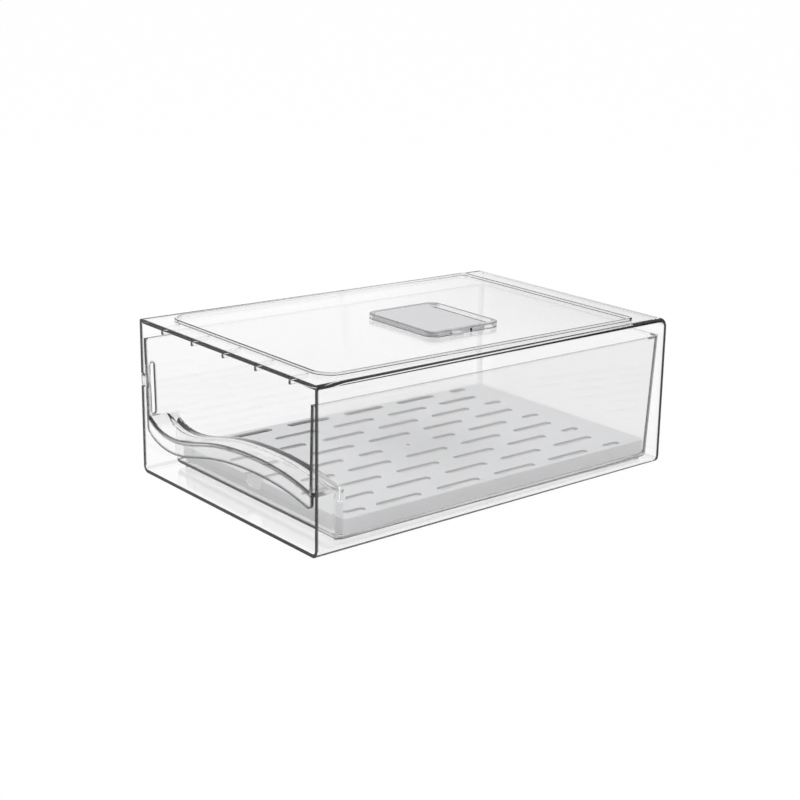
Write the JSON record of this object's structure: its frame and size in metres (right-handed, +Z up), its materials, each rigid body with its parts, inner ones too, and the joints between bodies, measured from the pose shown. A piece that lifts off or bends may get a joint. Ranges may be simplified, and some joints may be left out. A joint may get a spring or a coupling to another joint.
{
  "type": "fridge drawer organizer",
  "caption": "Clear stacking fridge bin with a pull-out drawer, wavy finger lip, lift-out slotted drain tray and a sliding vent in the top",
  "frame": {"origin": "on the ground, under the middle of the housing", "axes": "+X to the right seen from the open front, +Y from the open front to the closed rear, +Z up; the drawer pulls out along -Y"},
  "size_m": [0.206, 0.308, 0.1125],
  "materials": {
    "clear_housing": "clear polished",
    "clear_drawer": "clear polished",
    "clear_vent": "clear polished",
    "tray_grey": "satin",
    "slider_grey": "satin"
  },
  "bodies": {
    "housing": {"housing_shell": "clear_housing", "vent_frame": "clear_vent"},
    "drawer": {"drawer_bin": "clear_drawer"},
    "tray": {"drain_tray": "tray_grey"},
    "vent_plate": {"vent_slider": "slider_grey"}
  },
  "joints": [
    {"name": "drawer_slide", "type": "slide", "parent": "housing", "child": "drawer", "axis": [0, -1, 0], "range_m": [0, 0.24]},
    {"name": "tray_lift", "type": "slide", "parent": "drawer", "child": "tray", "axis": [0, 0, 1], "range_m": [0, 0.07]},
    {"name": "vent_slide", "type": "slide", "parent": "housing", "child": "vent_plate", "axis": [0, 1, -0.0081], "range_m": [0, 0.0094]}
  ]
}
